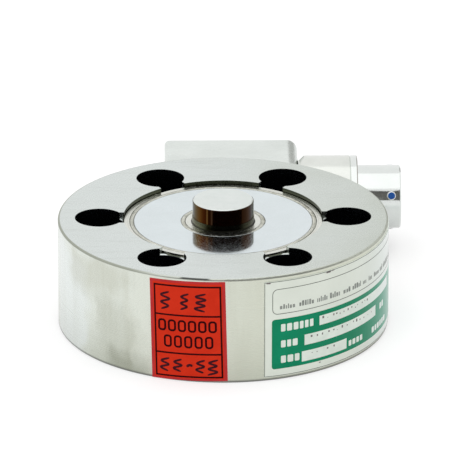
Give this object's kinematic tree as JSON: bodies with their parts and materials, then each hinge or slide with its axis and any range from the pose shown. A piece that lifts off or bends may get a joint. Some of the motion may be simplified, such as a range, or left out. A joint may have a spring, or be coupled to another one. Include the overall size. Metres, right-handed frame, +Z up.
{
  "type": "compression force sensor",
  "caption": "Low round steel force sensor with a raised central load button, counterbored holes around its rim, and a junction block with a bayonet receptacle behind.",
  "frame": {"origin": "centre of the bottom mounting face, on the loading axis", "axes": "+Z up along the loading axis, +Y towards the junction block, +X along the receptacle, the way the plug leaves it"},
  "size_m": [0.0807, 0.0957, 0.0298],
  "materials": {
    "body_steel": "fine turned stainless steel",
    "diaphragm_steel": "smooth stainless sheet, mirror-like",
    "cover_steel": "fine turned stainless steel",
    "button_steel": "ground and polished stainless steel",
    "block_steel": "satin stainless steel",
    "connector_steel": "turned stainless steel, half bright",
    "sealing_glass": "fused sealing glass, dark green",
    "seal_rubber": "soft silicone rubber",
    "nameplate_foil": "pale foil with green and white print",
    "sticker_paper": "red adhesive paper, slightly glossy",
    "insulating_plastic": "extruded insulation",
    "foam_pad": "closed-cell foam tape",
    "circuit_board": "solder-masked glass laminate",
    "gauge_film": "polyimide film with a metal foil grid",
    "solder_terminal": "tinned copper pads on film",
    "copper_wire": "enamelled copper wire",
    "resistor_body": "glazed resistor body",
    "contact_gold": "gold-plated contact",
    "bayonet_steel": "stainless pin with a blue paint mark"
  },
  "bodies": {
    "root": {"sensing_body": "body_steel", "top_diaphragm": "diaphragm_steel", "base_cover": "cover_steel", "load_button": "button_steel", "junction_block": "block_steel", "connector_adaptor": "connector_steel", "receptacle_shell": "connector_steel", "receptacle_insert": "sealing_glass", "interface_seal": "seal_rubber", "nameplate": "nameplate_foil", "calibration_sticker": "sticker_paper", "passage_sleeve": "insulating_plastic", "board_pad": "foam_pad", "compensation_board": "circuit_board", "strain_gauge_1": "gauge_film", "strain_gauge_2": "gauge_film", "strain_gauge_3": "gauge_film", "strain_gauge_4": "gauge_film", "strain_gauge_5": "gauge_film", "strain_gauge_6": "gauge_film", "strain_gauge_7": "gauge_film", "strain_gauge_8": "gauge_film", "gauge_terminal_1": "solder_terminal", "bridge_wire_1": "copper_wire", "signal_lead_1": "insulating_plastic", "trim_resistor_1": "resistor_body", "gauge_terminal_2": "solder_terminal", "bridge_wire_2": "copper_wire", "signal_lead_2": "insulating_plastic", "trim_resistor_2": "resistor_body", "gauge_terminal_3": "solder_terminal", "bridge_wire_3": "copper_wire", "signal_lead_3": "insulating_plastic", "trim_resistor_3": "resistor_body", "gauge_terminal_4": "solder_terminal", "bridge_wire_4": "copper_wire", "signal_lead_4": "insulating_plastic", "trim_resistor_4": "resistor_body", "contact_lead_1": "insulating_plastic", "contact_pin_1": "contact_gold", "contact_lead_2": "insulating_plastic", "contact_pin_2": "contact_gold", "contact_lead_3": "insulating_plastic", "contact_pin_3": "contact_gold", "contact_lead_4": "insulating_plastic", "contact_pin_4": "contact_gold", "contact_lead_5": "insulating_plastic", "contact_pin_5": "contact_gold", "contact_lead_6": "insulating_plastic", "contact_pin_6": "contact_gold", "bayonet_pin_1": "bayonet_steel", "bayonet_pin_2": "bayonet_steel", "bayonet_pin_3": "bayonet_steel"}
  },
  "joints": []
}
